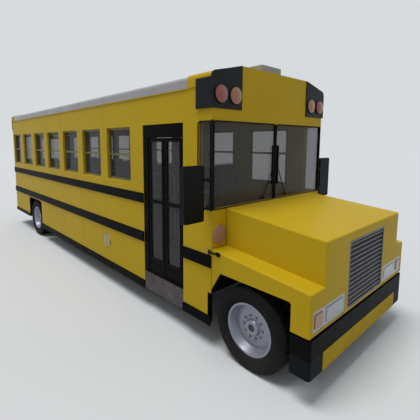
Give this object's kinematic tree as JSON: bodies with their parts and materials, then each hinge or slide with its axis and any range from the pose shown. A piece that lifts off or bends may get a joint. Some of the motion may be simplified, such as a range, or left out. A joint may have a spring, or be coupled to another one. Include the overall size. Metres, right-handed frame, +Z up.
{
  "type": "school bus",
  "caption": "Bonneted school bus with a hollow cabin, tilting nose, entrance leaves, rear door, roof hatch, stop arm, steered front wheels and twin rear wheels.",
  "frame": {"origin": "on the ground under the middle of the bus", "axes": "+X forward, +Y to the left, +Z up"},
  "size_m": [9.863, 3.228, 3.47],
  "materials": {
    "body_paint": "satin yellow paint",
    "roof_white": "satin off-white paint",
    "black_paint": "satin black paint",
    "lamp_lens": "ribbed red and amber lenses",
    "sash_metal": "anodised",
    "glass": "tinted glass",
    "step_grey": "worn grey tread",
    "sign_red": "blank red plate",
    "flap_cream": "pale paint",
    "grille_dark": "dark moulded louvres",
    "lamp_grey": "clear lamp over grey reflector",
    "black_plastic": "grained",
    "floor_rubber": "ribbed mat",
    "chassis_black": "chassis paint",
    "engine_iron": "cast",
    "tank_steel": "painted steel",
    "exhaust_steel": "dull heat-stained steel",
    "dash_plastic": "grained",
    "seat_steel": "powder coated",
    "seat_vinyl": "green vinyl",
    "tyre": "rubber",
    "rim_silver": "silver paint"
  },
  "bodies": {
    "root": {"side_wall_right": "body_paint", "side_wall_left": "body_paint", "cowl": "body_paint", "rear_wall": "body_paint", "roof": "roof_white", "front_cap": "body_paint", "rear_cap": "body_paint", "lamp_panels": "black_paint", "lamps": "lamp_lens", "rub_rails": "black_paint", "window_sashes": "sash_metal", "window_glass": "glass", "door_frame": "black_paint", "step_well": "step_grey", "bumper_front": "black_paint", "bumper_rear": "black_paint", "mirrors": "black_plastic", "wipers": "black_plastic", "floor": "floor_rubber", "frame_rails": "chassis_black", "engine": "engine_iron", "fuel_tank": "tank_steel", "exhaust": "exhaust_steel", "front_axle": "chassis_black", "rear_axle": "chassis_black", "dashboard": "dash_plastic", "seat_frames": "seat_steel", "seats": "seat_vinyl"},
    "nose": {"hood": "body_paint", "grille": "grille_dark", "headlamps": "lamp_grey"},
    "entry_leaf_rear": {"door_leaf_rear": "black_paint", "door_glass_rear": "glass"},
    "entry_leaf_front": {"door_leaf_front": "black_paint", "door_glass_front": "glass"},
    "emergency_door": {"rear_door": "body_paint", "rear_door_glass": "glass"},
    "stop_arm": {"stop_sign": "sign_red"},
    "fuel_flap": {"filler_flap": "flap_cream"},
    "roof_lid": {"hatch_lid": "roof_white"},
    "steer_right": {"knuckle_right": "chassis_black"},
    "wheel_front_right": {"tyre_front_right": "tyre", "rim_front_right": "rim_silver"},
    "wheel_rear_right": {"tyres_rear_right": "tyre", "rims_rear_right": "rim_silver"},
    "steer_left": {"knuckle_left": "chassis_black"},
    "wheel_front_left": {"tyre_front_left": "tyre", "rim_front_left": "rim_silver"},
    "wheel_rear_left": {"tyres_rear_left": "tyre", "rims_rear_left": "rim_silver"}
  },
  "joints": [
    {"name": "nose_tilt", "type": "hinge", "parent": "root", "child": "nose", "pos_m": [4.9085, 0, 0.713], "axis": [0, 1, 0], "range_deg": [0, 60]},
    {"name": "entry_rear_swing", "type": "hinge", "parent": "root", "child": "entry_leaf_rear", "pos_m": [2.4045, -1.189, 1.5], "axis": [0, 0, -1], "range_deg": [0, 88]},
    {"name": "entry_front_swing", "type": "hinge", "parent": "root", "child": "entry_leaf_front", "pos_m": [3.1175, -1.189, 1.5], "axis": [0, 0, 1], "range_deg": [0, 88]},
    {"name": "emergency_swing", "type": "hinge", "parent": "root", "child": "emergency_door", "pos_m": [-4.8525, -0.503, 1.8], "axis": [0, 0, 1], "range_deg": [0, 110]},
    {"name": "stop_swing", "type": "hinge", "parent": "root", "child": "stop_arm", "pos_m": [2.4315, 1.256, 1.372], "axis": [0, 0, -1], "range_deg": [0, 90]},
    {"name": "flap_swing", "type": "hinge", "parent": "root", "child": "fuel_flap", "pos_m": [1.2025, -1.231, 0.757], "axis": [0, 0, 1], "range_deg": [0, 110]},
    {"name": "lid_lift", "type": "hinge", "parent": "root", "child": "roof_lid", "pos_m": [-1.2535, 0, 3.401], "axis": [0, -1, 0], "range_deg": [0, 60]},
    {"name": "steering_right", "type": "hinge", "parent": "root", "child": "steer_right", "pos_m": [4.2015, -1.01, 0.465], "axis": [0, 0, 1], "range_deg": [-38, 38]},
    {"name": "roll_front_right", "type": "hinge", "parent": "steer_right", "child": "wheel_front_right", "pos_m": [4.2015, -1.08, 0.465], "axis": [0, 1, 0], "continuous": true},
    {"name": "roll_rear_right", "type": "hinge", "parent": "root", "child": "wheel_rear_right", "pos_m": [-2.9845, -1.08, 0.465], "axis": [0, 1, 0], "continuous": true},
    {"name": "steering_left", "type": "hinge", "parent": "root", "child": "steer_left", "pos_m": [4.2015, 1.01, 0.465], "axis": [0, 0, 1], "range_deg": [-38, 38]},
    {"name": "roll_front_left", "type": "hinge", "parent": "steer_left", "child": "wheel_front_left", "pos_m": [4.2015, 1.08, 0.465], "axis": [0, 1, 0], "continuous": true},
    {"name": "roll_rear_left", "type": "hinge", "parent": "root", "child": "wheel_rear_left", "pos_m": [-2.9845, 1.08, 0.465], "axis": [0, 1, 0], "continuous": true}
  ],
  "couplings": [
    {"joint": "entry_front_swing", "follows": "entry_rear_swing", "ratio": 1},
    {"joint": "steering_left", "follows": "steering_right", "ratio": 1}
  ]
}
